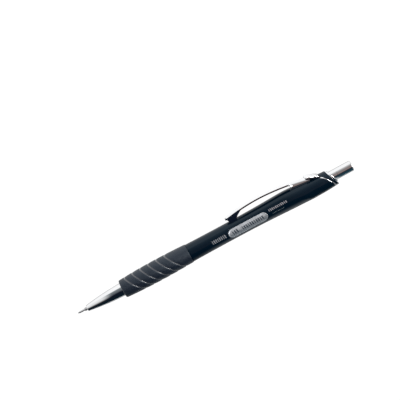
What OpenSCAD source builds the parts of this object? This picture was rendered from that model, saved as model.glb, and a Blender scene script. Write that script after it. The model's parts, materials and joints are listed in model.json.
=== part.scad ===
// Mechanical pencil for 0.5 mm lead, lying on its side as it rests on a table.
// Every piece is drawn about a local Z axis that runs from the lead tip (0)
// to the button (pencil_l), with local +X towards the clip. place() then lays
// it along the row's X axis, tip towards +X, with the clip's edge on the table.

/* [Overall] */
// Length from the lead tip to the end of the button
pencil_l = 145; // [140:1:150]
// Half diameter at the grip's crown and at the barrel's rear bulge
body_r = 5; // [4.9:0.1:5.1]

/* [Lead] */
// Radius of the lead (0.5 mm leads measure 0.56 mm)
lead_r = 0.28; // [0.27:0.01:0.29]
// Length left of the lead in use
lead_l = 34; // [20:1:38]
// Length of a spare lead
spare_l = 60; // [40:1:60]

/* [Nose] */
// Outer radius of the guide pipe
pipe_r = 0.45; // [0.4:0.05:0.5]
// Where the guide pipe starts, measured from the lead tip
pipe_s = 0.8; // [0.5:0.1:1.5]
// Where the pipe's shoulder starts
step_s = 3.5; // [3:0.1:3.8]
// Radius of the pipe's shoulder
step_r = 0.8; // [0.7:0.05:1]
// Where the cone starts
cone_s = 4.8; // [4.6:0.1:5]
// Radius of the cone's front face
cone_front_r = 1.45; // [1.35:0.05:1.5]

/* [Grip] */
// Where the rubber grip starts and the cone ends
grip_s = 23.6; // [23.4:0.1:23.8]
// Where the rubber grip ends
grip_end = 58.9; // [56:0.1:60]
// Number of oblique grooves round the grip
groove_n = 6; // [0:1:6]
// Distance from groove to groove
groove_pitch = 4.3; // [3.5:0.1:4.5]
// Depth of a groove
groove_d = 0.35; // [0.2:0.05:0.5]

/* [Clip] */
// Width of the clip arm at its root
clip_w = 4.6; // [4:0.1:5]
// Width of the clip arm at its foot
clip_foot_w = 3.8; // [3:0.1:4.2]
// Height of the arm's crest above the pencil's axis
clip_h = 8.5; // [8:0.1:9]
// Thickness of the spring strip
clip_t = 0.8; // [0.6:0.1:1]

/* [Button] */
// Outer radius of the button cap
button_r = 2.6; // [2.4:0.05:2.6]
// Outer radius of the lead tube
tube_r = 2.0; // [1.9:0.05:2]
// Inner radius of the lead tube
tube_bore = 1.5; // [1.4:0.05:1.5]

/* [Hidden] */
$fn = 72;
far = 20;

// Stations along the axis, and radii, of the inside
groove_s = 30;
groove_tilt = 37;
groove_w = 1;
retainer_s = 8.2;
retainer_end = 11;
retainer_r = 1.25;
chamber_s = 12.5;
chamber_r = 1.8;
ring_stop_s = 17;
ring_room_r = 2.15;
ring_s = 17.9;
ring_end = 20.4;
shank_end = 31.3;
shank_r = 2.9;
socket_r = 2.95;
core_s = 24.1;
core_r = 3.6;
socket_end = 31.5;
seat_end = 33.2;
seat_r = 2.6;
barrel_bore = 2.5;
jaw_s = 15.3;
jaw_end = 25.95;
chuck_s = 26;
chuck_end = 47;
chuck_r = 0.95;
coupling_s = 44.2;
tube_s = 46;
coupling_end = 52;
tube_end = 135.5;
spigot_s = 116;
spigot_r = 3.5;
guide_bore = 2.7;
spare_s = 54;

// The badge and the oblique joints of the barrel's rear end
badge_s = 79;
badge_l = 20.3;
badge_w = 4.4;
badge_roll = 93;
waist_s = 81;
waist_r = 4.25;
bulge_r = body_r + 0.2;
bulge_s = 125.3;
crown_s = 42;
clip_foot_s = 81;
clip_peak_s = 99;
foot_drop = 1.85;
clip_root_s = 114.5;
clip_pivot_s = 123.2;
clip_pivot_h = 5.35;
knuckle_r = 0.95;
hood_s = 122.6;
hood_h = 6.35;
hood_w = 5.7;
rear_s = 102;
rear_end = 127;
spread_s = 119;
spread = 0.05;
rear_shift = 0.6;
rear_first_r = 5.6;
rear_r = 4.6;
rear_taper = 0.005;
end_face_s = 134;
end_face_slope = 0.45;
bezel_r = 3.2;
bezel_out = 0.8;
step = 1;

// How the pencil lies: the clip's outer corner is as low as the body
clip_mid_w = arm_w(clip_peak_s);
corner_r = norm([clip_h, clip_mid_w / 2]);
corner_a = atan(clip_mid_w / 2 / clip_h);
rest_roll = acos(body_r / corner_r) + corner_a;
reach_y = corner_r * sin(rest_roll + corner_a);
axis_y = (reach_y - body_r) / 2;

// Outer radius of each turned piece at a station
function cone_t(s) = (s - cone_s) / (grip_s - cone_s);
function cone_r(s) = cone_front_r + 3 * cone_t(s) - 1.28 * pow(cone_t(s), 2);
function grip_r(s) = body_r - (s < crown_s ? 0.0018 : 0.0014) * pow(s - crown_s, 2);
function flare(t) = (1 - cos(180 * pow(t, 1.25))) / 2;
function barrel_r(s) =
    s < waist_s ? waist_r + 0.16 * pow((waist_s - s) / 22, 2)
    : waist_r + (bulge_r - waist_r) * flare((s - waist_s) / (bulge_s - waist_s));

// Radius of the rear end about its own centre line, which stands off the axis away from the clip
function rear_ring_r(s) = s < rear_end
    ? rear_r + (rear_first_r - rear_r) * (1 - flare((s - rear_s) / (rear_end - rear_s)))
    : rear_r - rear_taper * pow(max(0, s - bulge_s), 2);

// Side view of the clip arm: outer line and width at a station
function arm_h(s) = s < clip_peak_s
    ? clip_h - foot_drop * pow((clip_peak_s - s) / 18, 2)
    : clip_h - 2.8 * pow((s - clip_peak_s) / 23.9, 1.8);
function arm_w(s) = clip_foot_w
    + (clip_w - clip_foot_w) * (s - clip_foot_s) / (hood_s - clip_foot_s);

// Side view of the oblique joints: station of the cut at height x
function cut_u(x) = max(0, (x + 4.7) / 9.4);
function front_cut(x) = max(hood_s, 134.15 - 4.4 * cut_u(x) - 5.2 * pow(cut_u(x), 5));
function rear_cut(x) = 134.95 - 3.6 * cut_u(x) - 3.4 * pow(cut_u(x), 2.5);
function end_cut(x) = end_face_s - end_face_slope * x;

module place() {
    translate([pencil_l / 2, axis_y, body_r])
        rotate([180 - rest_roll, 0, 0])
            rotate([0, -90, 0])
                children();
}

// A solid of revolution from radius and station pairs
module turned(points) {
    rotate_extrude() polygon(points);
}

// A plain ring or tube
module tube(s0, s1, outer, inner) {
    turned([[inner, s0], [outer, s0], [outer, s1], [inner, s1]]);
}

module rod(s0, s1, r) {
    translate([0, 0, s0]) cylinder(r = r, h = s1 - s0);
}

// An outline in height and station, extruded across the pencil
module side_view(width) {
    rotate([90, 0, 0]) linear_extrude(height = width, center = true) children();
}

// An outline in width and station, extruded outwards from the axis
module plan_view(height) {
    rotate([90, 0, 90]) linear_extrude(height = height) children();
}

// The space in front of, or behind, the oblique cuts
module ahead_of_front_cut() {
    side_view(far) polygon(concat([[-far, 0], [-far, front_cut(-far)]],
        [for (x = [-4.7 : 0.47 : 5.64]) [x, front_cut(x)]],
        [[far, front_cut(far)], [far, 0]]));
}

module ahead_of_rear_cut() {
    side_view(far) polygon(concat([[-far, 0], [-far, rear_cut(-far)]],
        [for (x = [-4.7 : 0.47 : 7.1]) [x, rear_cut(x)]], [[7.1, 0]]));
}

module ahead_of_end_cut(extra) {
    side_view(far) polygon([[-far, 0], [-far, end_cut(-far) + extra],
        [far, end_cut(far) + extra], [far, 0]]);
}

// The barrel's outside, with its rear end, over a stretch of stations
module barrel_skin(s0, s1, proud) {
    if (s1 < rear_s)
        front_skin(s0, s1, proud);
    else if (s0 > spread_s)
        rear_skin(s0, s1, proud);
    else
        intersection() {
            front_skin(s0, s1, proud);
            rear_skin(s0, s1, proud);
        }
}

module front_skin(s0, s1, proud) {
    last = min(s1, spread_s);
    turned(concat([[0, s0]], [for (s = [s0 : step : last]) [barrel_r(s) + proud, s]],
        [[barrel_r(last) + proud, last], [barrel_r(last) + proud + spread * (s1 - last), s1], [0, s1]]));
}

module rear_skin(s0, s1, proud) {
    first = max(s0, rear_s);
    translate([-rear_shift, 0, 0])
        turned(concat([[0, s0]], first > s0 ? [[far, s0], [far, rear_s - 2]] : [],
            [for (s = [first : 1.5 : s1 - 0.5]) [rear_ring_r(s) + proud, s]],
            [[rear_ring_r(s1) + proud, s1], [0, s1]]));
}

// ---- pieces of the barrel ----

module barrel_bores() {
    turned([[0, core_s - 1], [socket_r, core_s - 1], [socket_r, socket_end], [seat_r, socket_end],
        [seat_r, seat_end], [barrel_bore, seat_end], [barrel_bore, spigot_s - 0.1],
        [spigot_r, spigot_s - 0.1], [spigot_r, pencil_l], [0, pencil_l]]);
}

module barrel_at_axis() {
    difference() {
        union() {
            rod(core_s, grip_end + 1, core_r);
            intersection() {
                barrel_skin(grip_end, 136, 0);
                ahead_of_front_cut();
            }
        }
        barrel_bores();
        badge_at_axis();
    }
}

module barrel() {
    place() color("#15181d") barrel_at_axis();
}

module groove_space() {
    for (i = [0 : groove_n - 1])
        translate([0, 0, groove_s + i * groove_pitch])
            rotate([0, groove_tilt, 0])
                translate([0, 0, -groove_w / 2])
                    cylinder(r = 8, h = groove_w);
}

module grip_body(inset) {
    lip_r = core_r - 0.55;
    turned(concat([[lip_r, grip_s], [grip_r(grip_s) - 0.9 - inset, grip_s],
            [grip_r(grip_s) - 0.3 - inset, grip_s + 0.3], [grip_r(grip_s) - inset, grip_s + 1]],
        [for (s = [grip_s + 2 : 2 : grip_end - 0.6]) [grip_r(s) - inset, s]],
        [[grip_r(grip_end) - inset, grip_end - 0.3], [grip_r(grip_end) - 0.3 - inset, grip_end],
            [core_r, grip_end], [core_r, core_s], [lip_r, core_s]]));
}

module grip() {
    place() color("#2b2d31") difference() {
        grip_body(0);
        difference() {
            groove_space();
            grip_body(groove_d);
            rod(0, 80, core_r + 0.2);
        }
    }
}

module capsule(length, width) {
    translate([0, width / 2]) circle(d = width);
    translate([-width / 2, width / 2]) square([width, length - width]);
    translate([0, length - width / 2]) circle(d = width);
}

module badge_at_axis() {
    difference() {
        intersection() {
            barrel_skin(badge_s - 1, badge_s + badge_l + 1, 0.06);
            rotate([0, 0, badge_roll])
                plan_view(6)
                    translate([0, badge_s])
                        capsule(badge_l, badge_w);
        }
        barrel_skin(badge_s - 2, badge_s + badge_l + 2, -0.25);
    }
}

module badge() {
    place() color("#b9c4c8") badge_at_axis();
}

module spring_seat() {
    place() color("#c9a24a") tube(socket_end + 0.2, seat_end, seat_r, chuck_r + 0.05);
}

module hood() {
    intersection() {
        side_view(hood_w) polygon([[3, hood_s], [hood_h, hood_s], [hood_h - 0.4, hood_s + 1.75],
            [4.95, 126.8], [4.1, 128.8], [3, 128.8]]);
        plan_view(8) translate([-hood_w / 2, hood_s]) square([hood_w, 8]);
        rod(100, 140, norm([hood_h, 1.2]));
    }
}

module hood_cavity() {
    end_s = clip_pivot_s + knuckle_r + 0.2;
    side_view(clip_w + 0.3) polygon(concat([[0, hood_s - 2]],
        [for (s = [hood_s - 2 : 0.5 : end_s]) [arm_h(s) + 0.15, s]],
        [[arm_h(end_s) + 0.15, end_s], [0, end_s]]));
}

module clip_collar() {
    place() color("#cfd2d4") difference() {
        intersection() {
            union() {
                barrel_skin(hood_s - 1, 136, 0.06);
                hood();
            }
            difference() {
                ahead_of_rear_cut();
                ahead_of_front_cut();
            }
        }
        hood_cavity();
        rod(100, 140, spigot_r);
    }
}

module end_cap() {
    place() color("#15181d") difference() {
        union() {
            intersection() {
                difference() {
                    barrel_skin(hood_s - 1, 137, 0);
                    ahead_of_rear_cut();
                }
                ahead_of_end_cut(0);
            }
            rod(spigot_s, 132, spigot_r);
        }
        rod(spigot_s - 1, 140, guide_bore);
        rod(130.6, 140, bezel_r);
    }
}

module cap_bezel() {
    place() color("#d8dadc") intersection() {
        tube(130.6, 139, bezel_r, guide_bore);
        ahead_of_end_cut(bezel_out);
    }
}

// ---- pieces of the nose ----

module nose_cone() {
    place() color("#d8dadc") difference() {
        turned(concat([[0, cone_s]],
            [for (s = [cone_s : 0.925 : grip_s]) [cone_r(s), s]],
            [[cone_r(grip_s), grip_s], [shank_r, grip_s]],
            [for (i = [0 : 7]) each [[shank_r, 25 + 0.75 * i], [shank_r - 0.2, 25.25 + 0.75 * i],
                [shank_r - 0.2, 25.4 + 0.75 * i], [shank_r, 25.65 + 0.75 * i]]],
            [[shank_r, shank_end], [0, shank_end]]));
        turned([[0, cone_s - 1], [pipe_r, cone_s - 1], [pipe_r, retainer_s],
            [retainer_r, retainer_s], [retainer_r, chamber_s], [chamber_r, chamber_s],
            [chamber_r, ring_stop_s], [ring_room_r, ring_stop_s],
            [ring_room_r, shank_end + 1], [0, shank_end + 1]]);
    }
}

module lead_sleeve() {
    bore = lead_r + 0.03;
    place() color("#c4c7ca") turned([[bore, pipe_s], [pipe_r, pipe_s], [pipe_r, step_s],
        [step_r, step_s + 0.15], [step_r, cone_s], [pipe_r, cone_s],
        [pipe_r, retainer_s], [bore, retainer_s]]);
}

module lead_retainer() {
    place() color("#7d3b30") tube(retainer_s, retainer_end, retainer_r, lead_r + 0.02);
}

// ---- the clip ----

module arm_side() {
    inner = [for (s = [clip_root_s : -1 : 89.5]) [arm_h(s) - clip_t, s]];
    outer = [for (s = [clip_foot_s : 1 : 124]) [arm_h(s), s]];
    foot_r = barrel_r(clip_foot_s + 3) + 0.04;
    polygon(concat([[arm_h(clip_foot_s) - 0.4, clip_foot_s - 0.1]], outer,
        [[arm_h(124.2), 124.2], [3, 124.2], [3, clip_root_s + 1], [4.9, clip_root_s]], inner,
        [[6.4, 88.4], [5.6, 87.2], [5, 86.7], [foot_r, 86.1], [foot_r, 82.4], [5, 81.7], [5.5, 81.2]]));
}

module clip_arm_at_axis() {
    difference() {
        intersection() {
            side_view(far) arm_side();
            plan_view(far) {
                translate([0, clip_foot_s + 0.9 * clip_foot_w / 2 - 0.1])
                    circle(d = clip_foot_w);
                polygon([[-clip_foot_w / 2, clip_foot_s + 1.6], [clip_foot_w / 2, clip_foot_s + 1.6],
                    [clip_w / 2, hood_s], [clip_w / 2, 125], [-clip_w / 2, 125], [-clip_w / 2, hood_s]]);
            }
            union() {
                translate([-far / 2, -far / 2, 0]) cube([2 * far, far, clip_pivot_s]);
                translate([clip_pivot_h, 0, clip_pivot_s])
                    rotate([90, 0, 0])
                        cylinder(r = knuckle_r, h = far, center = true);
            }
        }
        barrel_skin(90, 126, 0.12);
        barrel_skin(80, 90, 0.03);
    }
}

module clip_arm() {
    place() color("#d8dadc") clip_arm_at_axis();
}

// ---- the clutch, carried by the lead tube ----

module chuck_shank() {
    place() color("#c9a24a") turned([[lead_r + 0.04, chuck_s], [chuck_r, chuck_s],
        [chuck_r, chuck_end], [0.7, chuck_end], [0.6, chuck_end - 6], [lead_r + 0.04, chuck_end - 7]]);
}

module chuck_coupling() {
    place() color("#8f9499") turned([[chuck_r, coupling_s], [2.2, coupling_s], [2.2, tube_s],
        [tube_bore, tube_s], [tube_bore, coupling_end], [tube_bore - 0.2, coupling_end],
        [0.7, chuck_end], [chuck_r, chuck_end]]);
}

module lead_tube() {
    place() color("#e6e4dc") tube(tube_s, tube_end, tube_r, tube_bore);
}

// A round wire wound on a cylinder, its two ends cut square
function coil_ring(a, pitch, mean_r, wire_r, s0, sides) =
    [for (k = [0 : sides - 1]) let (b = 360 * k / sides, r = mean_r + wire_r * cos(b))
        [r * cos(a), r * sin(a), s0 + pitch * a / 360 + wire_r * sin(b)]];

module coil(turns, per_turn, mean_r, wire_r, s0, s1) {
    sides = 6;
    count = turns * per_turn;
    pitch = (s1 - s0 - 2 * wire_r) / turns;
    points = [for (i = [0 : count]) each
        coil_ring(360 * i / per_turn, pitch, mean_r, wire_r, s0 + wire_r, sides)];
    walls = [for (i = [0 : count - 1], k = [0 : sides - 1])
        [i * sides + k, i * sides + (k + 1) % sides, (i + 1) * sides + (k + 1) % sides,
            (i + 1) * sides + k]];
    polyhedron(points, concat([[for (k = [sides - 1 : -1 : 0]) k]], walls,
        [[for (k = [0 : sides - 1]) count * sides + k]]));
}

module clutch_spring() {
    place() color("#a9adb0") coil(11, 12, 1.5, 0.17, seat_end + 0.03, coupling_s - 0.03);
}

// One third of the split head that grips the lead
module chuck_jaw(i) {
    saw_cut = 0.25;
    intersection() {
        turned([[lead_r + 0.02, jaw_s], [1, jaw_s], [1.45, jaw_s + 0.9], [1.45, ring_s + 0.1],
            [chuck_r, ring_end + 0.4], [chuck_r, jaw_end], [lead_r + 0.04, jaw_end]]);
        rotate([0, 0, 120 * i])
            linear_extrude(height = 40)
                translate([saw_cut / 2 / sin(60), 0])
                    polygon([[0, 0], [far * cos(60), far * sin(60)], [far, 0],
                        [far * cos(60), -far * sin(60)]]);
    }
}

module chuck_jaw_1() {
    place() color("#c9a24a") chuck_jaw(0);
}

module chuck_jaw_2() {
    place() color("#c9a24a") chuck_jaw(1);
}

module chuck_jaw_3() {
    place() color("#c9a24a") chuck_jaw(2);
}

module clutch_ring() {
    place() color("#d6b25c") turned([[1.52, ring_s], [1.93, ring_s], [2.08, ring_s + 0.15],
        [2.08, ring_end - 0.15], [1.93, ring_end], [1.52, ring_end]]);
}

module writing_lead() {
    place() color("#3a3b3e") turned([[0, 0], [0.12, 0], [lead_r, 0.3], [lead_r, lead_l], [0, lead_l]]);
}

// Spare leads lie in the lowest part of the tube, side by side
module spare_leads() {
    low_r = tube_bore - lead_r - 0.03;
    place() color("#3a3b3e")
        for (side = [-1, 1])
            rotate([0, 0, -rest_roll + 14 * side])
                translate([low_r, 0, 0])
                    rod(spare_s, spare_s + spare_l, lead_r);
}

// ---- what closes the tube ----

module eraser_ferrule() {
    cup_r = tube_r - 0.02;
    place() color("#b4b7ba") turned([[0, 131], [tube_bore - 0.18, 131], [tube_bore - 0.03, 131.3],
        [tube_bore - 0.03, tube_end], [cup_r, tube_end], [cup_r, 138.4], [1.72, 138.4],
        [1.72, 136.1], [0, 136.1]]);
}

module eraser() {
    place() color("#f1efe9") turned([[0, 136.1], [1.72, 136.1], [1.72, 142.6], [1.4, 143],
        [0, 143]]);
}

module button_cap() {
    free_s = 137;
    skirt_r = button_r - 0.03;
    bore = tube_r + 0.03;
    place() color("#d8dadc") turned([[bore, 127], [skirt_r - 0.06, 127], [skirt_r, free_s],
        [button_r, free_s], [button_r, pencil_l - 0.7], [button_r - 0.15, pencil_l - 0.3],
        [button_r - 0.6, pencil_l - 0.08], [button_r - 1.2, pencil_l], [0, pencil_l],
        [0, 143.5], [bore, 143.5]]);
}

barrel();
grip();
badge();
spring_seat();
clip_collar();
end_cap();
cap_bezel();
nose_cone();
lead_sleeve();
lead_retainer();
clip_arm();
chuck_shank();
chuck_coupling();
lead_tube();
clutch_spring();
chuck_jaw_1();
chuck_jaw_2();
chuck_jaw_3();
clutch_ring();
writing_lead();
spare_leads();
eraser_ferrule();
eraser();
button_cap();
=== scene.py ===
import json
import math

import bmesh
import bpy
from mathutils import Matrix, Vector


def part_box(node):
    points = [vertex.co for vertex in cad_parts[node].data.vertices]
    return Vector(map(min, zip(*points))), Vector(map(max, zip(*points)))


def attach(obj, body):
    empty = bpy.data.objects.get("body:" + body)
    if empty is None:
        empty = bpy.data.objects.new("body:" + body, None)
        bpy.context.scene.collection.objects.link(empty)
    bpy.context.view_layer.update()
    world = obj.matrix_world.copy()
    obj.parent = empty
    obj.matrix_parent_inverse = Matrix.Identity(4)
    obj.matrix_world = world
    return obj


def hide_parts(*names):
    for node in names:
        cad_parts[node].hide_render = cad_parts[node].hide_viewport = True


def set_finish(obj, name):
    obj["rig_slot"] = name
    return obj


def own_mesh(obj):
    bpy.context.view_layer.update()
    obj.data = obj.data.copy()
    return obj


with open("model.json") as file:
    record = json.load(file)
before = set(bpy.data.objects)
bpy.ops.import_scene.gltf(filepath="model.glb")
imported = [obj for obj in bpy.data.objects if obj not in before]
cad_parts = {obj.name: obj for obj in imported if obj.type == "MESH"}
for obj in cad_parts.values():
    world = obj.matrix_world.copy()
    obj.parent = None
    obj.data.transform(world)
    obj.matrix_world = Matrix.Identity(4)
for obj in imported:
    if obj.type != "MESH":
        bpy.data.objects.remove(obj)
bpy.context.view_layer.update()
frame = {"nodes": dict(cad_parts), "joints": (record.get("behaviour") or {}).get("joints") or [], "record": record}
RECORD = frame["record"]
NODES = frame["nodes"]
MM = 0.001
TURN = 2 * math.pi


# ---- the pencil's own frame: height towards the clip, side towards the badge,
# ---- and station from the lead tip, all in millimetres

def joint(name):
    return next(j for j in frame["joints"] if j["name"] == name)


def mount(name):
    return next(m for m in RECORD["mounts"] if m["name"] == name)


PIPE = mount("guide_pipe")
AXIS_POINT = Vector(PIPE["pos_m"])
TIP_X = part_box("writing_lead")[1].x
CLIP_HINGE = Vector(joint("clip_flex")["pos_m"])
SIDE = -Vector(joint("clip_flex")["axis"]).normalized()
UP = Vector((0, CLIP_HINGE.y - AXIS_POINT.y, CLIP_HINGE.z - AXIS_POINT.z)).normalized()


def at(height, side, station):
    axis = Vector((TIP_X - station * MM, AXIS_POINT.y, AXIS_POINT.z))
    return axis + (UP * height + SIDE * side) * MM


def polar(radius, angle, station):
    return at(radius * math.cos(angle), radius * math.sin(angle), station)


def span(node):
    low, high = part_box(node)
    return (TIP_X - high.x) / MM, (TIP_X - low.x) / MM


def outer_radius(node):
    axis = Vector((0, AXIS_POINT.y, AXIS_POINT.z))
    points = (Vector((0, v.co.y, v.co.z)) for v in NODES[node].data.vertices)
    return max((p - axis).length for p in points) / MM


def smooth(t):
    t = min(1.0, max(0.0, t))
    return t * t * (3 - 2 * t)


def mixed(a, b, t):
    return a + (b - a) * t


def steps(a, b, count):
    return [mixed(a, b, i / count) for i in range(count + 1)]


CONE_S = span("nose_cone")[0]
SHANK_END = span("nose_cone")[1]
GRIP_S, GRIP_END = span("grip")
CORE_S = span("barrel")[0]
BADGE_S, BADGE_END = span("badge")
BADGE_ROLL = math.radians(93)
SPIGOT_S = span("end_cap")[0]
SEAT_S, SEAT_END = span("spring_seat")
CLIP_S, CLIP_END = span("clip_arm")
HOOD_S = span("clip_collar")[0]
PENCIL_L = span("button_cap")[1]
CROWN_R = outer_radius("grip")
BUTTON_R = mount("button_end")["dims"]["r_mm"]
TUBE_R = outer_radius("lead_tube")
PIPE_R = PIPE["dims"]["r_mm"]

# radii of the inner steps, and where the outline changes, as in the CAD
CONE_TIP_R = 1.45
CROWN_S = 42.0
CORE_R = 3.6
SHANK_R = 2.9
SOCKET_R = 2.95
BARREL_BORE = 2.5
SPIGOT_R = 3.5
SEAT_R = 2.6
GUIDE_BORE = 2.7
BEZEL_R, BEZEL_SEAT_S = 3.2, 130.6
WAIST_S, WAIST_R = 81.0, 4.25
FRONT_RISE, FRONT_RUN = 0.16, 22
BULGE_S = 125.3
BULGE_R = CROWN_R + 0.2
REAR_S, REAR_END = 102.0, 127.0
SPREAD_S = 119.0
REAR_SHIFT, REAR_R, REAR_FIRST_R = 0.6, 4.6, 5.6
HOOD_HALF = 2.85

# the oblique cuts behind the barrel, behind the collar and at the end cap's face, by their
# stations at the bottom (the first two) and on the axis (the last)
CUT_H = 4.7
FRONT_CUT_S, REAR_CUT_S, END_CUT_S = 134.15, 134.95, 134
END_SLANT = 0.45

# the grip's grooves
GROOVES, GROOVE_S, GROOVE_PITCH, GROOVE_TILT = 6, 30.0, 4.3, math.radians(37)
GROOVE_DEPTH = 0.34

# the clip: its arch is highest at PEAK_S, its heel stands on the barrel round HEEL_S,
# and its root goes into the collar's hood
CLIP_H, CLIP_T = 8.5, 0.8
FOOT_DROP, FOOT_RUN = 1.85, 18
ROOT_DROP, ROOT_RUN = 2.8, 23.9
FOOT_W, ROOT_W = 3.8, 4.6
PEAK_S = 99.0
HEEL_S, HEEL_END = 84, 86
ARCH_S, UNDER_S = 88.6, 89.4
ROOT_S = 114.4
# material slots of the clip's faces painted darker: painted shade on the edges and on the heel
SHADED_EDGE_FACES, SHADED_HEEL_FACES = 1, 2

# the badge's half width, and how high its field and the ink lie on the skin
BADGE_HALF = 4.4 / 2
BADGE_LIFT = 0.025
INK_LIFT = 0.012


# ---- the turned outlines and the oblique cuts

def cone_r(s):
    t = (s - CONE_S) / (GRIP_S - CONE_S)
    return CONE_TIP_R + 3 * t - 1.28 * t * t


def grip_r(s):
    fall = 0.0018 if s < CROWN_S else 0.0014
    return CROWN_R - fall * (s - CROWN_S) ** 2


def flare(t):
    return (1 - math.cos(math.pi * t ** 1.25)) / 2


def barrel_r(s):
    if s < WAIST_S:
        return WAIST_R + FRONT_RISE * ((WAIST_S - s) / FRONT_RUN) ** 2
    return WAIST_R + (BULGE_R - WAIST_R) * flare((s - WAIST_S) / (BULGE_S - WAIST_S))


def rear_ring_r(s):
    """Radius of the rear end about its own centre, which is off the axis, away from the clip."""
    if s < REAR_END:
        done = flare((s - REAR_S) / (REAR_END - REAR_S))
        return REAR_R + (REAR_FIRST_R - REAR_R) * (1 - done)
    return REAR_R - 0.005 * max(0.0, s - BULGE_S) ** 2


def front_skin_r(s):
    return barrel_r(s) if s < SPREAD_S else barrel_r(SPREAD_S) + 0.05 * (s - SPREAD_S)


def lesser(a, b, reach=0.24):
    """The smaller of two radii, eased where they cross, so that no crease shows."""
    return min(a, b) - max(0.0, reach - abs(a - b)) ** 2 / (4 * reach)


def skin_r(s, angle):
    """The barrel's outside at a station and an angle round the axis."""
    if s < REAR_S:
        return barrel_r(s)
    x, y = REAR_SHIFT * math.cos(angle), REAR_SHIFT * math.sin(angle)
    return lesser(front_skin_r(s), math.sqrt(rear_ring_r(s) ** 2 - y * y) - x)


def skin_h(s, side):
    """Height of the barrel's skin on the clip's side, at a distance to the side."""
    front = math.sqrt(front_skin_r(s) ** 2 - side * side)
    if s < REAR_S:
        return front
    return min(front, math.sqrt(rear_ring_r(s) ** 2 - side * side) - REAR_SHIFT)


def cut_u(height):
    """How far up an oblique cut a height is: 0 at the barrel's bottom and 1 at its top."""
    return max(0.0, (height + CUT_H) / (2 * CUT_H))


def front_cut(height):
    """Station where the barrel ends and the collar begins, at a height."""
    u = cut_u(height)
    return max(HOOD_S, FRONT_CUT_S - 4.4 * u - 5.2 * u ** 5)


def rear_cut(height):
    """Station where the collar ends and the end cap begins, at a height."""
    u = cut_u(height)
    return REAR_CUT_S - 3.6 * u - 3.4 * u ** 2.5


def end_cut(height):
    """Station of the end cap's slanted face, at a height."""
    return END_CUT_S - END_SLANT * height


def arm_h(s):
    """Height of the clip's outer face."""
    if s < PEAK_S:
        return CLIP_H - FOOT_DROP * ((PEAK_S - s) / FOOT_RUN) ** 2
    return CLIP_H - ROOT_DROP * ((s - PEAK_S) / ROOT_RUN) ** 1.8


def meet(radius, cut, angle, shift=0.0):
    """Station where a skin of that radius meets an oblique cut, at one angle round the axis."""
    s = BULGE_S
    for _ in range(40):
        s = mixed(s, cut(radius(s, angle) * math.cos(angle)) + shift, 0.6)
    return s


# ---- mesh builders

def add_piece(name, bm, body, slot, replaced=(), crease=32):
    bmesh.ops.recalc_face_normals(bm, faces=bm.faces)
    mesh = bpy.data.meshes.new(name)
    bm.to_mesh(mesh)
    bm.free()
    mesh.shade_smooth()
    mesh.set_sharp_from_angle(angle=math.radians(crease))
    piece = bpy.data.objects.new(name, mesh)
    bpy.context.scene.collection.objects.link(piece)
    finish_piece(piece, body, slot, replaced)
    return piece


def finish_piece(piece, body, slot, replaced):
    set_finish(piece, slot)
    if replaced:
        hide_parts(*replaced)
    if body:
        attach(piece, body)


def bridge(bm, one, two):
    count = len(one)
    for k in range(count):
        n = (k + 1) % count
        bm.faces.new((one[k], one[n], two[n], two[k]))


def loft(bm, rings, capped=True):
    """Joins the rings one after another, and closes both ends."""
    for one, two in zip(rings, rings[1:]):
        bridge(bm, one, two)
    if capped:
        bm.faces.new(rings[0])
        bm.faces.new(rings[-1])


def revolve(profile, count):
    """A closed skin round the axis. profile gives (radius, station) pairs at an angle; a loop
    that starts and ends on the axis is closed there, and any other loop closes on itself."""
    bm = bmesh.new()
    columns = [profile(TURN * k / count) for k in range(count)]
    rings = []
    for i in range(len(columns[0])):
        if max(c[i][0] for c in columns) < 1e-6:
            rings.append([bm.verts.new(polar(0, 0, columns[0][i][1]))])
        else:
            rings.append([bm.verts.new(polar(c[i][0], TURN * k / count, c[i][1]))
                          for k, c in enumerate(columns)])
    pairs = list(zip(rings, rings[1:]))
    if len(rings[0]) > 1:
        pairs.append((rings[-1], rings[0]))
    for one, two in pairs:
        if len(one) == 1 or len(two) == 1:
            hub, ring = (one, two) if len(one) == 1 else (two, one)
            for k in range(len(ring)):
                bm.faces.new((hub[0], ring[k], ring[(k + 1) % len(ring)]))
        else:
            bridge(bm, one, two)
    return bm


def filleted(points, closed=True, arc=4):
    """Rounds the corners of an outline of (radius, station, fillet) points."""
    out = []
    count = len(points)
    for i, (r, s, fillet) in enumerate(points):
        if fillet <= 0 or (not closed and i in (0, count - 1)):
            out.append((r, s))
            continue
        corner = Vector((r, s))
        before = Vector(points[i - 1][:2]) - corner
        after = Vector(points[(i + 1) % count][:2]) - corner
        reach = min(fillet, before.length * 0.45, after.length * 0.45)
        a = corner + before.normalized() * reach
        b = corner + after.normalized() * reach
        for t in steps(0, 1, arc):
            p = a * (1 - t) ** 2 + corner * 2 * t * (1 - t) + b * t * t
            out.append((p.x, p.y))
    return out


def turned(name, points, body, slot, replaced, count, closed=True):
    outline = filleted(points, closed)
    return add_piece(name, revolve(lambda a: outline, count), body, slot, replaced)


def thread_r(r, s, angle, pitch, depth):
    """Radius of a rounded screw thread at a station and angle."""
    phase = (s / pitch - angle / TURN) % 1.0
    return r - depth * (1 - abs(2 * phase - 1)) ** 1.4


# ---- nose

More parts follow.
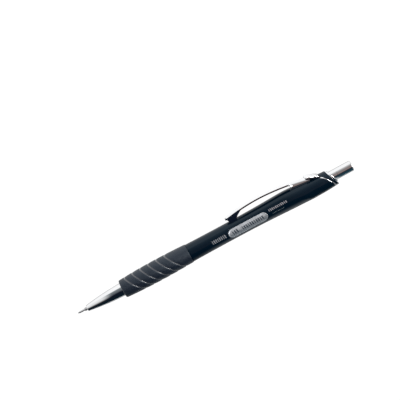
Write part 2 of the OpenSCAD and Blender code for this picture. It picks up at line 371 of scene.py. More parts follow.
def nose_profile(angle):
    bore_r, retainer_r, step_r, room_r = PIPE_R + 0.01, 1.26, 1.8, 2.15
    bore_end, retainer_end, room_s = 8.2, 12.5, 17.0
    pitch, depth = 0.75, 0.2
    r0, s0 = cone_r(CONE_S), CONE_S
    front = filleted([(bore_r, s0, 0), (r0, s0, 0.22), (cone_r(s0 + 1.2), s0 + 1.2, 0)],
                     closed=False, arc=5)
    cone = [(cone_r(s), s) for s in steps(s0 + 1.5, GRIP_S - 0.35, 40)]
    rim = filleted([(cone_r(GRIP_S - 0.3), GRIP_S - 0.3, 0), (cone_r(GRIP_S), GRIP_S, 0.12),
                    (SHANK_R, GRIP_S, 0)], closed=False)
    relief = [(SHANK_R - 0.12, GRIP_S + 0.05), (SHANK_R - 0.12, GRIP_S + 1.2)]
    screw = [(thread_r(SHANK_R, s, angle, pitch, depth * smooth((s - GRIP_S - 1.2) / 0.6)), s)
             for s in steps(GRIP_S + 1.4, SHANK_END - 0.4, 72)]
    end = [(SHANK_R - 0.25, SHANK_END), (room_r + 0.15, SHANK_END), (room_r, SHANK_END - 0.15)]
    inside = [(room_r, room_s), (step_r, room_s), (step_r, retainer_end),
              (retainer_r, retainer_end), (retainer_r, bore_end), (bore_r, bore_end)]
    return front + cone + rim + relief + screw + end + inside


def make_nose_cone():
    return add_piece("cone", revolve(nose_profile, 160), "nose", "chrome", ["nose_cone"], 28)


def make_lead_sleeve():
    pipe_s, pipe_end = span("lead_sleeve")
    bore, shoulder, groove = 0.31, 0.8, 0.72
    points = [(bore, pipe_s + 0.03, 0), (bore + 0.05, pipe_s, 0.02), (PIPE_R, pipe_s, 0.08),
              (PIPE_R, 3.5, 0.1), (0.74, 3.55, 0.05), (shoulder, 3.75, 0.06),
              (shoulder, CONE_S - 0.3, 0.04), (groove, CONE_S - 0.22, 0.02),
              (groove, CONE_S - 0.12, 0.02), (shoulder, CONE_S - 0.04, 0.02),
              (shoulder, CONE_S, 0), (PIPE_R, CONE_S, 0), (PIPE_R, pipe_end, 0),
              (bore, pipe_end, 0)]
    return turned("guide_pipe", points, "nose", "pipe_steel", ["lead_sleeve"], count=64)


def make_lead():
    lead_end = span("writing_lead")[1]
    r = outer_radius("writing_lead")
    worn = 0.09

    def profile(angle):
        slant = worn * (1 + math.cos(angle - 0.7)) / 2
        return [(0, worn / 2), (0.13, worn / 2 + slant * 0.4), (0.2, 0.1 + slant),
                (r * 0.93, 0.24 + slant), (r, 0.42), (r, lead_end - 0.05), (r - 0.05, lead_end),
                (0, lead_end)]
    return add_piece("lead_in_use", revolve(profile, 40), "lead", "graphite", ["writing_lead"])


# ---- grip and barrel

def wave(height, s):
    """Depth, 0 to about 1, of the grip's oblique grooves: a narrow valley at each, and behind it
    a shallow dip that comes up gently."""
    along = (height * math.tan(GROOVE_TILT) + s - GROOVE_S) / GROOVE_PITCH
    first, last = -0.5, GROOVES - 0.5
    if along < first or along > last:
        return 0.0
    phase = along + 0.5 - math.floor(along + 0.5)
    valley = math.exp(-((phase - 0.5) / 0.055) ** 2)
    dip = 0.0
    if phase > 0.5:
        dip = 0.3 * (smooth((phase - 0.5) / 0.06) - smooth((phase - 0.52) / 0.5))
    ends = smooth((along - first) / 0.3) * smooth((last - along) / 0.3)
    return (valley * 0.75 + dip) * ends


def grip_profile(angle):
    x = math.cos(angle)

    def grooved_r(s):
        return grip_r(s) - GROOVE_DEPTH * wave(grip_r(s) * x, s)

    lip = CORE_R - 0.55
    front = filleted([(lip, GRIP_S, 0), (grip_r(GRIP_S) - 0.02, GRIP_S, 0.75),
                      (grooved_r(GRIP_S + 2), GRIP_S + 2, 0)], closed=False, arc=6)
    body = [(grooved_r(s), s) for s in steps(GRIP_S + 1.2, GRIP_END - 0.5, 330)]
    rear = filleted([(grooved_r(GRIP_END - 0.4), GRIP_END - 0.4, 0),
                     (grip_r(GRIP_END) - 0.02, GRIP_END, 0.3), (CORE_R, GRIP_END, 0)], closed=False)
    return front + body + rear + [(CORE_R, CORE_S), (lip, CORE_S)]


def make_grip():
    sleeve = add_piece("grip_sleeve", revolve(grip_profile, 160), "barrel", "grip_rubber",
                       ["grip"], 50)
    axis = polar(0, 0, 0)
    glossy_from = 0.3
    # The groove faces take the groove finish: glossier, and painted lighter as a painted highlight.
    for face in sleeve.data.polygons:
        height = (face.center - axis).dot(UP) / MM
        if wave(height, (TIP_X - face.center.x) / MM) > glossy_from:
            face.material_index = 1
    return sleeve


def barrel_profile(angle):
    x = math.cos(angle)
    end = meet(skin_r, front_cut, angle)
    front = GRIP_END + 0.02
    shoulder = filleted([(CORE_R, front, 0), (barrel_r(GRIP_END), front, 0.18),
                         (barrel_r(GRIP_END + 0.6), GRIP_END + 0.6, 0)], closed=False)
    skin = [(skin_r(s, angle), s) for s in steps(GRIP_END + 0.9, end - 0.35, 150)]
    rim = filleted([(skin_r(end - 0.3, angle), end - 0.3, 0), (skin_r(end, angle), end, 0.1),
                    (SPIGOT_R, front_cut(SPIGOT_R * x), 0)], closed=False)
    bore = [(SPIGOT_R, SPIGOT_S - 0.1), (BARREL_BORE, SPIGOT_S - 0.1), (BARREL_BORE, SEAT_END),
            (SEAT_R, SEAT_END), (SEAT_R, SEAT_S - 0.2), (SOCKET_R, SEAT_S - 0.2)]
    mouth = [(SOCKET_R, CORE_S + 0.3), (SOCKET_R + 0.2, CORE_S), (CORE_R - 0.2, CORE_S),
             (CORE_R, CORE_S + 0.2)]
    return shoulder + skin + rim + bore + mouth


def make_barrel():
    return add_piece("barrel_tube", revolve(barrel_profile, 160), "barrel", "barrel_plastic",
                     ["barrel"])


# ---- flat things laid on the barrel's skin, by station and by arc across

def on_barrel(station, across, lift):
    r = barrel_r(station)
    angle = BADGE_ROLL - across / r
    return polar(r + lift, angle, station)


def badge_loop(bm, inset, lift):
    """One ring of the badge's capsule outline, inset from its edge, at that lift above the skin."""
    r = BADGE_HALF - inset
    start, end = BADGE_S + BADGE_HALF, BADGE_END - BADGE_HALF
    points = []
    for centre, turn in ((start, math.pi / 2), (end, -math.pi / 2)):
        for t in steps(0, math.pi, 28):
            a = turn + t
            points.append(on_barrel(centre + r * math.cos(a), r * math.sin(a), lift))
        straight = steps(start, end, 24)[1:-1]
        if turn > 0:
            points += [on_barrel(s, -r, lift) for s in straight]
        else:
            points += [on_barrel(s, r, lift) for s in reversed(straight)]
    return [bm.verts.new(p) for p in points]


def make_badge():
    rim = [(0.0, -0.05), (0.0, 0.03), (0.03, 0.055), (0.06, 0.06), (0.3, 0.06), (0.36, 0.03)]
    field = [(inset, BADGE_LIFT) for inset in (0.5, 0.9, 1.3, 1.6, 1.85, 2.05)]
    bm = bmesh.new()
    loops = [badge_loop(bm, inset, lift) for inset, lift in rim + field]
    loft(bm, loops, capped=False)
    bm.faces.new(loops[-1])
    inner = [badge_loop(bm, inset, -0.08) for inset in (0.02, 0.9, 1.6, 2.05)]
    bridge(bm, loops[0], inner[0])
    loft(bm, inner, capped=False)
    bm.faces.new(inner[-1])
    bmesh.ops.triangulate(bm, faces=[f for f in bm.faces if len(f.verts) > 4])
    return add_piece("badge_plate", bm, "barrel", "badge_foil", ["badge"], 25)


def add_bar(bm, station, width, low, high, lean, lift, thick):
    """One thin bar across the barrel, curved with its skin."""
    rows = []
    for t in steps(0, 1, 6):
        across = mixed(low, high, t)
        s = station + lean * (t - 0.5)
        rows.append([bm.verts.new(on_barrel(s + e * width / 2, across, h))
                     for e, h in ((-1, lift - thick), (1, lift - thick), (1, lift), (-1, lift))])
    loft(bm, rows)


def make_bars(name, groups, slot, lift):
    """Plain printed bars in groups of (start, end, count, low, high, lean)."""
    bm = bmesh.new()
    for start, end, count, low, high, lean in groups:
        pitch = (end - start) / count
        for i in range(count):
            wide = 0.62 if i % 3 else 0.42
            add_bar(bm, start + pitch * (i + 0.5), pitch * wide, low, high, lean, lift, 0.05)
    return add_piece(name, bm, "barrel", slot)


def make_prints():
    middle = (BADGE_S + BADGE_END) / 2
    front = BADGE_S - 4.9
    rear = BADGE_END + 5.7
    marks = make_bars("badge_bars", [(middle - 8.3, middle - 5.1, 3, -0.85, 1.15, -0.5),
                                     (middle - 3.3, middle + 8.2, 11, -0.75, 0.95, -0.3)],
                      "barrel_plastic", BADGE_LIFT + 0.015)
    on_skin = (("front_bars", (front - 3.7, front + 3.7, 8, -0.4, 1.4, -0.2)),
               ("rear_bars", (rear - 4.6, rear + 5.2, 11, 1.0, 2.15, -0.2)),
               ("small_bars", (rear - 3.4, rear + 2.8, 9, -0.7, -0.3, 0.0)))
    return [marks] + [make_bars(name, [bars], "badge_foil", INK_LIFT) for name, bars in on_skin]


# ---- clip, collar, cap and button

def key(points, s):
    """Eased value between (station, value) points."""
    if s <= points[0][0]:
        return points[0][1]
    for (a, va), (b, vb) in zip(points, points[1:]):
        if s <= b:
            return mixed(va, vb, smooth((s - a) / (b - a)))
    return points[-1][1]


def arm_section(s):
    """Top and bottom heights, half width, and how much the underside follows the barrel."""
    nose = CLIP_S + FOOT_W / 2
    half = mixed(FOOT_W, ROOT_W, (s - CLIP_S) / (HOOD_S - CLIP_S)) / 2
    if s < nose:
        half = math.sqrt(max(0.02, (FOOT_W / 2) ** 2 - (nose - s) ** 2))
    top = arm_h(s) - 0.35 * smooth((CLIP_S + 0.7 - s) / 0.7)
    thin = top - CLIP_T
    heel = skin_h(HEEL_S, 0) + 0.06
    root = skin_h(s, 0) + 0.14
    bottom = key([(CLIP_S, thin + 0.3), (CLIP_S + 0.5, thin + 0.05), (CLIP_S + 1.6, heel),
                  (HEEL_END, heel)], s)
    if s > HEEL_END:
        bottom = mixed(heel, thin, min(1.0, (s - HEEL_END) / 3.4) ** 0.55)
    if s > UNDER_S:
        bottom = mixed(thin, root, smooth(s - ROOT_S))
    follows = (smooth((s - CLIP_S - 1.1) / 0.6) * smooth((HEEL_END + 0.3 - s) / 0.3)
               + smooth((s - ROOT_S - 0.4) / 0.8))
    end_r, end_h = 0.95, 5.35
    pivot = CLIP_END - end_r
    if s > pivot:
        top = min(top, end_h + math.sqrt(max(0.0, end_r ** 2 - (s - pivot) ** 2)))
    return top, bottom, half, follows


def arm_loop(s):
    """The strip's outline at a station, as (height, side): thin and sharp on the arch, and
    rounder towards the root."""
    top, bottom, half, follows = arm_section(s)
    thick = top - bottom
    bulk = smooth((s - ROOT_S + 0.2) / 1.6)
    wide = min(mixed(0.12, half * 0.7, bulk), half * 0.7)
    tall = min(mixed(0.12, thick * 0.8, bulk), thick * 0.8)
    low = min(0.1, thick * 0.1)
    crown = 0.05

    def underside(y):
        return bottom + (skin_h(s, y) - skin_h(s, 0)) * follows

    def corner(side, turns):
        return [(top - crown - tall * (1 - math.cos(a)),
                 side * (half - wide * (1 - math.sin(a)))) for a in turns]

    edge = top - crown - tall
    points = [(top - crown * (y / half) ** 2, y) for y in steps(wide - half, half - wide, 8)]
    points += corner(1, steps(0, math.pi / 2, 8)[1:])
    points += [(mixed(edge, underside(half) + low, t), half) for t in (0.33, 0.66)]
    points += [(underside(half) + low * (1 - math.sin(a)), half - low * (1 - math.cos(a)))
               for a in steps(0, math.pi / 2, 3)]
    points += [(underside(y), y) for y in steps(half - low, low - half, 8)[1:-1]]
    points += [(underside(half) + low * (1 - math.sin(a)), low * (1 - math.cos(a)) - half)
               for a in steps(math.pi / 2, 0, 3)]
    points += [(mixed(edge, underside(half) + low, t), -half) for t in (0.66, 0.33)]
    points += corner(-1, steps(math.pi / 2, 0, 8)[:-1])
    return points


def arm_stations():
    foot = [CLIP_S + ahead for ahead in (0.02, 0.06, 0.12, 0.2, 0.3)]
    heel = steps(CLIP_S + 0.42, 88.0, 60)
    arch = steps(ARCH_S, 113.8, 52)
    root = steps(114.2, CLIP_END - 0.01, 52)
    return foot + heel + arch + root


def make_clip_arm():
    bm = bmesh.new()
    rings = [[bm.verts.new(at(h, y, s)) for h, y in arm_loop(s)] for s in arm_stations()]
    loft(bm, rings, capped=False)
    for ring in (rings[0], rings[-1]):
        bmesh.ops.triangulate(bm, faces=[bm.faces.new(ring)])
    strip = add_piece("clip_strip", bm, "clip", "chrome", ["clip_arm"], 40)
    for face in strip.data.polygons:
        s = (TIP_X - face.center.x) / MM
        aside, up = abs(face.normal.dot(SIDE)), face.normal.dot(UP)
        # Painted shade: the heel's sides and the tip's faces take the near-black heel finish, and the strip's
        # sides along the arch take the darker, reddish edge finish.
        at_tip = s < CLIP_S + 2.6 and up < 0.8
        if s < ARCH_S and (aside > 0.3 or at_tip):
            face.material_index = SHADED_HEEL_FACES
        elif s < ROOT_S - 0.4 and aside > 0.6:
            face.material_index = SHADED_EDGE_FACES
    return strip


def hood_h(s):
    """Height of the hood's flat top over the axis."""
    return key([(HOOD_S, 6.35), (HOOD_S + 1.75, 5.95), (HOOD_S + 4.2, 4.95),
                (HOOD_S + 6.2, 4.1)], s)


def collar_r(s, angle):
    """The collar's skin: a ring that stands a little proud, and a flat-topped hood with
    straight sides over the clip's root."""
    base = skin_r(s, angle) + 0.06
    if math.cos(angle) < 0.1:
        return base
    side_wall = HOOD_HALF / max(1e-6, abs(math.sin(angle)))
    return max(base, lesser(hood_h(s) / math.cos(angle), side_wall, 0.5))


def collar_profile(angle):
    x = math.cos(angle)
    start = meet(collar_r, front_cut, angle, 0.02)
    end = meet(collar_r, rear_cut, angle, -0.02)
    edge = min(0.2, (end - start) * 0.3)
    swell = 0.11 * smooth((0.65 - x) / 0.5)
    skin = []
    for s in steps(start + edge, end - edge, 30):
        crown = swell * (1 - ((2 * s - start - end) / (end - start)) ** 2)
        skin.append((collar_r(s, angle) + crown, s))
    ahead = (collar_r(start, angle) - edge, start)
    behind = (collar_r(end, angle) - edge, end)
    bore = SPIGOT_R + 0.02
    bore_start, bore_end = front_cut(bore * x) + 0.02, rear_cut(bore * x) - 0.02
    rear = [(mixed(behind[0], bore, t), mixed(end, bore_end, t)) for t in (0.5, 1)]
    front = [(bore, bore_start), (mixed(ahead[0], bore, 0.5), mixed(start, bore_start, 0.5))]
    return [ahead] + skin + [behind] + rear + front


def make_clip_collar():
    ring = add_piece("collar", revolve(collar_profile, 240), None, "chrome")
    cutter = add_piece("collar_slot", slot_space(), None, "chrome")
    cut = ring.modifiers.new("slot", "BOOLEAN")
    cut.object = cutter
    cut.operation = "DIFFERENCE"
    cut.solver = "EXACT"
    depsgraph = bpy.context.evaluated_depsgraph_get()
    mesh = bpy.data.meshes.new_from_object(ring.evaluated_get(depsgraph))
    ring.modifiers.clear()
    ring.data = mesh
    bpy.data.objects.remove(cutter)
    mesh.set_sharp_from_angle(angle=math.radians(32))
    finish_piece(ring, "barrel", "chrome", ["clip_collar"])
    return ring


def slot_space():
    """The room in the collar for the clip's root."""
    half = 4.9 / 2
    end = CLIP_END + 0.2
    bm = bmesh.new()
    rings = []
    for s in steps(HOOD_S - 1.5, end, 10):
        top = arm_h(s) + 0.15
        rings.append([bm.verts.new(at(h, y, s)) for h, y in
                      ((0.5, -half), (0.5, half), (top - 0.3, half), (top, half - 0.3),
                       (top, 0.3 - half), (top - 0.3, -half))])
    loft(bm, rings)
    return bm


def cap_profile(angle):
    x = math.cos(angle)
    start = meet(skin_r, rear_cut, angle)
    end = meet(skin_r, end_cut, angle)
    edge = 0.4
    ahead = filleted([(SPIGOT_R, rear_cut(SPIGOT_R * x), 0), (skin_r(start, angle), start, 0.06),
                      (skin_r(start + 0.2, angle), start + 0.2, 0)], closed=False, arc=3)
    skin = [(skin_r(s, angle), s) for s in steps(start + 0.25, end - edge * 1.2, 24)]
    rear = filleted([(skin_r(end - edge, angle), end - edge, 0), (skin_r(end, angle), end, edge),
                     (BEZEL_R + 0.02, end_cut(BEZEL_R * x), 0)], closed=False, arc=6)
    inside = [(BEZEL_R + 0.02, BEZEL_SEAT_S), (GUIDE_BORE, BEZEL_SEAT_S),
              (GUIDE_BORE, SPIGOT_S + 0.2), (GUIDE_BORE + 0.2, SPIGOT_S),
              (SPIGOT_R - 0.3, SPIGOT_S), (SPIGOT_R, SPIGOT_S + 0.3)]
    return ahead + skin + rear + inside


def make_end_cap():
    return add_piece("rear_cap", revolve(cap_profile, 160), "barrel", "barrel_plastic", ["end_cap"])


def bezel_profile(angle):
    x = math.cos(angle)
    out = 0.8
    top = end_cut(BEZEL_R * x) + out
    inner = end_cut(GUIDE_BORE * x) + out
    return filleted([(BEZEL_R, BEZEL_SEAT_S, 0), (BEZEL_R, top, 0.22), (GUIDE_BORE, inner, 0.12),
                     (GUIDE_BORE, BEZEL_SEAT_S, 0)])


def make_bezel():
    return add_piece("bezel_ring", revolve(bezel_profile, 120), "barrel", "chrome",
                     ["cap_bezel"], 40)


def make_button():
    skirt_s = span("button_cap")[0]
    bore = TUBE_R + 0.03
    skirt_r = BUTTON_R - 0.03
    free_s, roof_s = 137.0, 143.5
    points = [(bore, skirt_s, 0.05), (skirt_r - 0.06, skirt_s, 0.08),
              (skirt_r, free_s - 0.15, 0.05), (BUTTON_R, free_s, 0.05),
              (BUTTON_R, PENCIL_L - 0.55, 0), (BUTTON_R, PENCIL_L - 0.28, 0.2),
              (BUTTON_R - 0.4, PENCIL_L - 0.05, 0.3), (BUTTON_R - 1.2, PENCIL_L, 0.3),
              (0, PENCIL_L, 0)]
    outline = filleted(points, closed=False, arc=5)
    hollow = [(0, roof_s), (bore - 0.2, roof_s), (bore - 0.05, roof_s - 0.05),
              (bore, roof_s - 0.2), (bore, skirt_s + 0.05)]
    return add_piece("push_button", revolve(lambda a: hollow + outline, 128), "button", "chrome",
                     ["button_cap"], 40)


def make_ferrule():
    start, end = span("eraser_ferrule")
    tube_end = span("lead_tube")[1]
    plug_r = TUBE_R - 0.53
    cup_r = TUBE_R - 0.02
    bore, floor = 1.74, span("eraser")[0] - 0.01
    points = [(0, start, 0), (plug_r - 0.3, start, 0.1), (plug_r, start + 0.4, 0.1),
              (plug_r, tube_end, 0), (cup_r, tube_end + 0.01, 0.08)]
    for bead in (136.45, 137.15):
        points += [(cup_r, bead - 0.15, 0.06), (cup_r - 0.1, bead, 0.06),
                   (cup_r, bead + 0.15, 0.06)]
    points += [(cup_r, end - 0.08, 0.05), (cup_r - 0.08, end, 0.04), (bore, end, 0.04),
               (bore, floor, 0), (0, floor, 0)]
    return turned("ferrule", points, "eraser", "spring_steel", ["eraser_ferrule"],
                  closed=False, count=96)


def make_eraser():
    start, end = span("eraser")
    r = outer_radius("eraser")

    def profile(angle):
        worn = 0.22 * (1 + math.cos(angle - 0.9)) / 2
        top = end - worn
        return [(0, start), (r, start), (r, 138.5), (r * 0.985, 140.4), (r, 142.0),
                (r * 0.985, top - 0.42), (r * 0.93, top - 0.2), (r * 0.82, top - 0.06),
                (r * 0.6, mixed(top, end, 0.3) - 0.02), (r * 0.3, mixed(top, end, 0.6)),
                (0, end - 0.03)]
    return add_piece("eraser_stub", revolve(profile, 72), "eraser", "eraser_rubber", ["eraser"], 50)


def make_spring():
    """The clutch spring, with closed end coils."""
    start, end = span("clutch_spring")
    turns, per_turn, sides = 11, 36, 10
    wire, mean = 0.17, 1.5
    bm = bmesh.new()
    rings = []
    count = turns * per_turn
    for i in range(count + 1):
        t = i / count
        eased = t - math.sin(TURN * t) * 0.03
        s = mixed(start + wire, end - wire, eased)
        a = TURN * i / per_turn
        turns_round = [TURN * k / sides for k in range(sides)]
        rings.append([bm.verts.new(polar(mean + wire * math.cos(b), a, s + wire * math.sin(b)))
                      for b in turns_round])
    loft(bm, rings)
    spring = add_piece("coil_spring", bm, "barrel", "spring_steel", ["clutch_spring"], 60)
    tuple(polar(0, 0, start))
    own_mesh(spring)
    return spring


# ---- shader nodes that the materials and the studio share

def number(tree, operation, *values):
    """A Math node's output, from numbers and other outputs."""
    node = tree.nodes.new("ShaderNodeMath")
    node.operation = operation
    for socket, value in zip(node.inputs, values):
        if isinstance(value, (int, float)):
            socket.default_value = value
        else:
            tree.links.new(value, socket)
    return node.outputs[0]


def ranged(tree, value, low, high, out_low, out_high):
    """The value from low to high, eased over out_low to out_high and held at the ends."""
    node = tree.nodes.new("ShaderNodeMapRange")
    node.interpolation_type = "SMOOTHSTEP"
    marks = zip(("From Min", "From Max", "To Min", "To Max"), (low, high, out_low, out_high))
    for socket, mark in marks:
        node.inputs[socket].default_value = mark
    tree.links.new(value, node.inputs["Value"])
    return node.outputs["Result"]


def blended(tree, fac, a, b):
    """The colour from a to b by a factor. Each is a colour or another output."""
    node = tree.nodes.new("ShaderNodeMix")
    node.data_type = "RGBA"
    tree.links.new(fac, node.inputs["Factor"])
    for name, value in (("A", a), ("B", b)):
        if isinstance(value, tuple):
            node.inputs[name].default_value = (*value, 1)
        else:
            tree.links.new(value, node.inputs[name])
    return node.outputs["Result"]


# ---- materials

class Finish:
    """A node material on a Principled shader, with object coordinates in metres."""

    def __init__(self, name, color, roughness, metallic=0.0, **sockets):
        self.material = bpy.data.materials.new(name)
        self.material.use_nodes = True
        self.tree = self.material.node_tree
        self.shader = self.tree.nodes["Principled BSDF"]
        self.shader.inputs["Base Color"].default_value = (*color, 1)
        self.shader.inputs["Roughness"].default_value = roughness
        self.shader.inputs["Metallic"].default_value = metallic
        for socket, value in sockets.items():
            self.shader.inputs[socket.replace("_", " ")].default_value = value
        self.coords = self.tree.nodes.new("ShaderNodeTexCoord").outputs["Object"]
        self.height = None

    def node(self, kind, **values):
        made = self.tree.nodes.new(kind)
        for name, value in values.items():
            setattr(made, name, value)
        return made

    def link(self, a, b):
        self.tree.links.new(a, b)

    def noise(self, size_mm, detail=3.0, rough=0.55, stretch=(1, 1, 1)):
        """Noise whose features are about size_mm across, stretched along the row's axes."""
        scaled = self.node("ShaderNodeMapping")
        for i in range(3):
            scaled.inputs["Scale"].default_value[i] = 1 / (size_mm * MM * stretch[i])
        self.link(self.coords, scaled.inputs["Vector"])
        made = self.node("ShaderNodeTexNoise")
        made.inputs["Scale"].default_value = 1
        made.inputs["Detail"].default_value = detail
        made.inputs["Roughness"].default_value = rough
        self.link(scaled.outputs["Vector"], made.inputs["Vector"])
        return made.outputs["Fac"]

    def rings(self, pitch_mm):
        """Turning marks: fine bands round the pencil's axis, a little uneven."""
        made = self.node("ShaderNodeTexWave", wave_type="BANDS", bands_direction="X",
                         wave_profile="SIN")
        made.inputs["Scale"].default_value = 1 / (pitch_mm * MM) / 20 * TURN / 3.2
        made.inputs["Distortion"].default_value = 1.5
        made.inputs["Detail"].default_value = 2
        made.inputs["Detail Scale"].default_value = 2
        self.link(self.coords, made.inputs["Vector"])
        return made.outputs["Fac"]

    def between(self, fac, low, high, out_low, out_high):
        return ranged(self.tree, fac, low, high, out_low, out_high)

    def tint(self, fac, dark, light):
        return blended(self.tree, fac, dark, light)

    def color_from(self, fac, dark, light):
        self.link(self.tint(fac, dark, light), self.shader.inputs["Base Color"])

    def roughness_from(self, fac):
        self.link(fac, self.shader.inputs["Roughness"])

    def haired(self, haze, hair):
        """Roughness from a slow haze, with fine scratches rougher by a fixed amount."""
        self.roughness_from(number(self.tree, "ADD", haze,
                                   number(self.tree, "MULTIPLY", hair, 0.12)))

    def bump(self, fac, depth_mm, strength=1.0):
        made = self.node("ShaderNodeBump")
        made.inputs["Strength"].default_value = strength
        made.inputs["Distance"].default_value = depth_mm * MM
        self.link(fac, made.inputs["Height"])
        if self.height is not None:
            self.link(self.height, made.inputs["Normal"])
        self.height = made.outputs["Normal"]
        self.link(self.height, self.shader.inputs["Normal"])
        return self

    def scratches(self, size_mm, stretch, low=0.66, high=0.72):
        return self.between(self.noise(size_mm, 2.0, 0.5, stretch), low, high, 0.0, 1.0)

    def station(self, start, end):
        """0 before the start station and 1 after the end station."""
        parts = self.node("ShaderNodeSeparateXYZ")
        self.link(self.coords, parts.inputs["Vector"])
        return self.between(parts.outputs["X"], TIP_X - start * MM, TIP_X - end * MM, 0.0, 1.0)


def barrel_plastic():
    f = Finish("gloss_black_plastic", (0.001, 0.007, 0.017), 0.1, Specular_IOR_Level=0.34,
               Specular_Tint=(0.72, 0.9, 1.0, 1.0))
    f.color_from(f.noise(9, 3), (0.0005, 0.005, 0.0115), (0.0011, 0.0068, 0.0155))
    hair = f.scratches(0.12, (60, 1, 1))
    f.haired(f.between(f.noise(5, 4, 0.6, (2, 1, 1)), 0.45, 0.7, 0.07, 0.15), hair)
    f.bump(f.noise(1.2, 2), 0.004).bump(hair, 0.002)
    return f.material


def grip_rubber():
    f = Finish("grip_rubber", (0.006, 0.0095, 0.018), 0.42, Specular_IOR_Level=0.62,
               Specular_Tint=(0.82, 0.93, 1.0, 1.0))
    f.color_from(f.noise(2.5, 5, 0.6), (0.005, 0.009, 0.019), (0.008, 0.0135, 0.0245))
    f.roughness_from(f.between(f.noise(0.8, 4), 0.3, 0.7, 0.34, 0.48))
    f.bump(f.noise(0.22, 3, 0.6), 0.018).bump(f.noise(2.0, 2), 0.02)
    return f.material


def groove_rubber_painted_highlight():
    """The grip's grooves: glossier than the rest, so that they glint as in the photo. Their colour is lighter than
    the rubber's, a painted highlight along the grooves.
    """
    f = Finish("groove_rubber_painted_highlight", (0.02, 0.024, 0.035), 0.25, Specular_IOR_Level=1.0,
               Coat_Weight=1.0, Coat_Roughness=0.2)
    f.color_from(f.noise(1.5, 4, 0.6), (0.014, 0.018, 0.028), (0.024, 0.029, 0.041))
    f.roughness_from(f.between(f.noise(0.6, 3), 0.3, 0.7, 0.2, 0.32))
    f.bump(f.noise(0.25, 3), 0.006)
    return f.material


def chrome():
    f = Finish("chrome_plate", (0.86, 0.865, 0.875), 0.05, 1.0)
    f.color_from(f.noise(6, 3), (0.82, 0.83, 0.845), (0.89, 0.893, 0.9))
    hair = f.scratches(0.06, (40, 1, 1), 0.68, 0.74)
    f.haired(f.between(f.noise(3, 4, 0.6), 0.4, 0.75, 0.035, 0.1), hair)
    f.bump(f.noise(2.5, 2), 0.002).bump(hair, 0.0012)
    return f.material


def clip_edge_painted_shade():
    """The clip's edges: duller, and painted darker and slightly red, a painted shade along the edge line, to match
    the photo's edge line.
    """
    f = Finish("clip_edge_painted_shade", (0.26, 0.155, 0.155), 0.16, 1.0)
    f.color_from(f.noise(4, 3), (0.21, 0.12, 0.12), (0.31, 0.19, 0.19))
    f.roughness_from(f.between(f.noise(1.5, 4), 0.3, 0.7, 0.12, 0.24))
    f.bump(f.noise(0.4, 3), 0.003)
    return f.material


def clip_heel_painted_shade():
    """The clip's heel: painted nearly black, as the photo shows it, a painted shade where it stands on the barrel.
    The clip's heel: nearly black, as the photo shows it, where it may only mirror the barrel.
    """
    f = Finish("clip_heel_painted_shade", (0.003, 0.006, 0.015), 0.2, Specular_IOR_Level=0.4,
               Specular_Tint=(0.6, 0.85, 1.0, 1.0))
    f.color_from(f.noise(3, 3), (0.002, 0.004, 0.012), (0.005, 0.009, 0.019))
    f.roughness_from(f.between(f.noise(1.2, 4), 0.3, 0.7, 0.16, 0.3))
    f.bump(f.noise(0.4, 3), 0.003)
    return f.material


def badge_foil():
    f = Finish("satin_silver_foil", (0.62, 0.65, 0.68), 0.35, 0.85)
    brushed = f.noise(0.05, 3, 0.6, (50, 1, 1))
    f.color_from(brushed, (0.66, 0.7, 0.74), (0.8, 0.84, 0.88))
    f.roughness_from(f.between(brushed, 0.3, 0.7, 0.26, 0.38))
    f.bump(brushed, 0.003)
    return f.material


def ink(name, dark, light):
    f = Finish(name, light, 0.45, Specular_IOR_Level=0.4)
    worn = f.noise(0.25, 4, 0.65)
    f.color_from(f.between(worn, 0.3, 0.6, 0.0, 1.0), dark, light)
    f.roughness_from(f.between(worn, 0.3, 0.7, 0.35, 0.6))
    f.bump(worn, 0.004)
    return f.material


def brass():
    f = Finish("turned_brass", (0.76, 0.56, 0.27), 0.25, 1.0)
    f.color_from(f.noise(1.2, 4, 0.6), (0.66, 0.46, 0.2), (0.82, 0.63, 0.33))
    marks = f.rings(0.12)
    f.roughness_from(f.between(marks, 0.2, 0.8, 0.2, 0.34))
    f.bump(marks, 0.006)
    return f.material


def steel(name, color, size):
    f = Finish(name, color, 0.28, 1.0)
    drawn = f.noise(size, 4, 0.6, (20, 1, 1))
    f.color_from(drawn, tuple(c * 0.85 for c in color), tuple(min(1, c * 1.12) for c in color))
    f.roughness_from(f.between(drawn, 0.3, 0.7, 0.2, 0.36))
    f.bump(drawn, 0.003)
    return f.material


def moulded(name, dark, light, clear=0.0):
    f = Finish(name, light, 0.4, Specular_IOR_Level=0.45, Subsurface_Weight=clear,
               Subsurface_Scale=0.0008)
    f.color_from(f.noise(1.8, 4, 0.6), dark, light)
    f.roughness_from(f.between(f.noise(0.5, 3), 0.3, 0.7, 0.34, 0.5))
    f.bump(f.noise(0.3, 3), 0.01)
    return f.material


def eraser_rubber():
    """Off-white rubber, with a little graphite rubbed into its end."""
    f = Finish("eraser_rubber", (0.8, 0.79, 0.75), 0.75, Subsurface_Weight=0.15,
               Subsurface_Scale=0.0006)
    smears = f.between(f.noise(0.7, 5, 0.65), 0.4, 0.62, 0.0, 0.55)
    rub = number(f.tree, "MULTIPLY", f.station(141.6, 143.0), smears)
    clean = f.tint(f.noise(1.5, 4), (0.74, 0.73, 0.69), (0.84, 0.83, 0.79))
    f.color_from(rub, clean, (0.16, 0.16, 0.17))
    f.roughness_from(f.between(f.noise(0.4, 4), 0.3, 0.7, 0.65, 0.85))
    f.bump(f.noise(0.25, 4, 0.65), 0.03)
    return f.material


def graphite():
    f = Finish("graphite", (0.06, 0.06, 0.066), 0.35, 0.55)
    f.color_from(f.noise(0.2, 4, 0.6, (4, 1, 1)), (0.04, 0.04, 0.045), (0.1, 0.1, 0.11))
    f.roughness_from(f.between(f.noise(0.1, 3), 0.3, 0.7, 0.25, 0.45))
    f.bump(f.noise(0.08, 3), 0.004)
    return f.material


